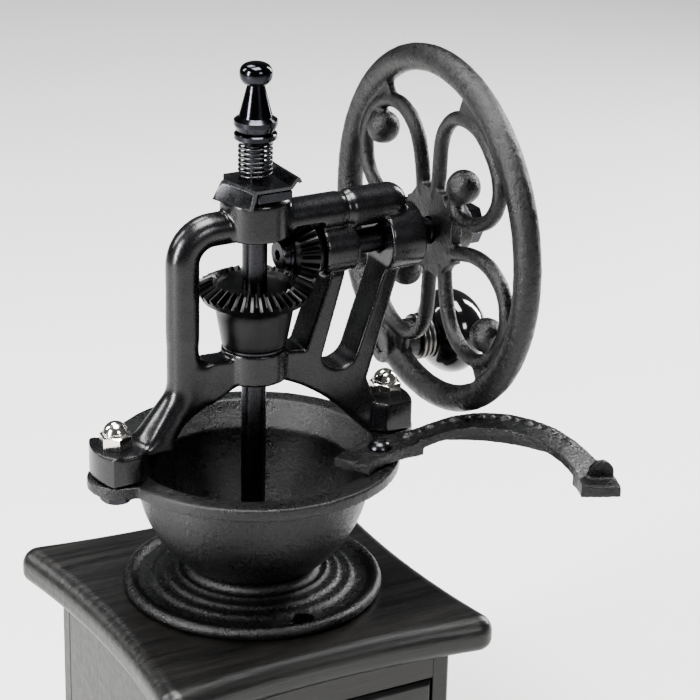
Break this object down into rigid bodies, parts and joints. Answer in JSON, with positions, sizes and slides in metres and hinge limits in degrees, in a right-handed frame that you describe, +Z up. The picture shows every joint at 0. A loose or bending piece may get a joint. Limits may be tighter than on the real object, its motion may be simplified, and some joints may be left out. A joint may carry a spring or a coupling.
{
  "type": "coffee grinder mill",
  "caption": "Hand coffee mill: wooden box with a drawer, cast bowl with a swinging lid, bridge frame, bevel gears and an ornamental flywheel with a crank knob.",
  "frame": {"origin": "centre of the base's underside, on the vertical grinding axis", "axes": "+Z up along the grinding axis, +X along the crank axis towards the flywheel, the drawer opens towards -Y"},
  "size_m": [0.1757, 0.1584, 0.29],
  "materials": {
    "painted_wood": "black paint, semi-gloss",
    "bare_wood": "plain beech, matte",
    "black_paint": "satin",
    "cast_iron": "rough casting, black",
    "gear_iron": "cut teeth, oiled",
    "dark_steel": "darkened",
    "spring_steel": "blued",
    "bright_nickel": "bright nickel plate",
    "polished_steel": "polished, dark",
    "black_lacquer": "black gloss lacquer"
  },
  "bodies": {
    "stand": {"base_plate": "painted_wood", "box_side_left": "painted_wood", "box_side_right": "painted_wood", "box_back": "painted_wood", "box_front_rail": "painted_wood", "drawer_stop": "bare_wood", "top_board": "painted_wood", "hopper_bowl": "cast_iron", "outer_burr": "gear_iron", "foot_screws": "dark_steel", "bridge_frame": "black_paint", "frame_studs": "dark_steel", "cap_nuts": "bright_nickel", "stud_nuts": "dark_steel", "thrust_washer": "dark_steel", "adjuster_block": "dark_steel", "lock_leaf": "spring_steel", "adjuster_spring": "spring_steel", "lid_pivot_screw": "dark_steel"},
    "wheel": {"crank_shaft": "dark_steel", "drive_pinion": "gear_iron", "pinion_washer": "dark_steel", "pinion_screw": "dark_steel", "drive_wheel": "cast_iron", "wheel_nut": "dark_steel", "handle_bolt": "dark_steel"},
    "handle": {"knob_ferrule": "dark_steel", "handle_knob": "black_lacquer"},
    "gear": {"bevel_gear": "gear_iron"},
    "shaft": {"main_shaft": "dark_steel", "inner_burr": "gear_iron", "burr_nut": "dark_steel"},
    "collar": {"spring_collar": "polished_steel"},
    "adjuster": {"adjusting_knob": "polished_steel"},
    "lid": {"lid": "cast_iron"},
    "drawer": {"drawer_front": "painted_wood", "drawer_tray": "bare_wood", "drawer_knob": "painted_wood", "drawer_knob_screw": "dark_steel"}
  },
  "joints": [
    {"name": "wheel_spin", "type": "hinge", "parent": "stand", "child": "wheel", "pos_m": [0, 0, 0.221], "axis": [1, 0, 0], "continuous": true},
    {"name": "gear_spin", "type": "hinge", "parent": "stand", "child": "gear", "pos_m": [0, 0, 0], "axis": [0, 0, 1], "continuous": true},
    {"name": "shaft_lift", "type": "slide", "parent": "gear", "child": "shaft", "axis": [0, 0, 1], "range_m": [-0.00175, 0.00175]},
    {"name": "knob_spin", "type": "hinge", "parent": "wheel", "child": "handle", "pos_m": [0, 0.0285, 0.168], "axis": [1, 0, 0], "continuous": true},
    {"name": "adjuster_rise", "type": "slide", "parent": "stand", "child": "collar", "axis": [0, 0, 1], "range_m": [-0.00125, 0.00125], "deforming": ["adjuster_spring"]},
    {"name": "adjuster_turn", "type": "hinge", "parent": "collar", "child": "adjuster", "pos_m": [0, 0, 0], "axis": [0, 0, 1], "range_deg": [-400, 400]},
    {"name": "lid_swing", "type": "hinge", "parent": "stand", "child": "lid", "pos_m": [0.03507, -0.0274, 0.151], "axis": [0, 0, 1], "range_deg": [-141, 0]},
    {"name": "drawer_slide", "type": "slide", "parent": "stand", "child": "drawer", "axis": [0, -1, 0], "range_m": [0, 0.07]}
  ],
  "couplings": [
    {"joint": "gear_spin", "follows": "wheel_spin", "ratio": 0.55556},
    {"joint": "shaft_lift", "follows": "adjuster_rise", "ratio": 1},
    {"joint": "adjuster_turn", "follows": "adjuster_rise", "rad_per_m": 5026.5}
  ]
}
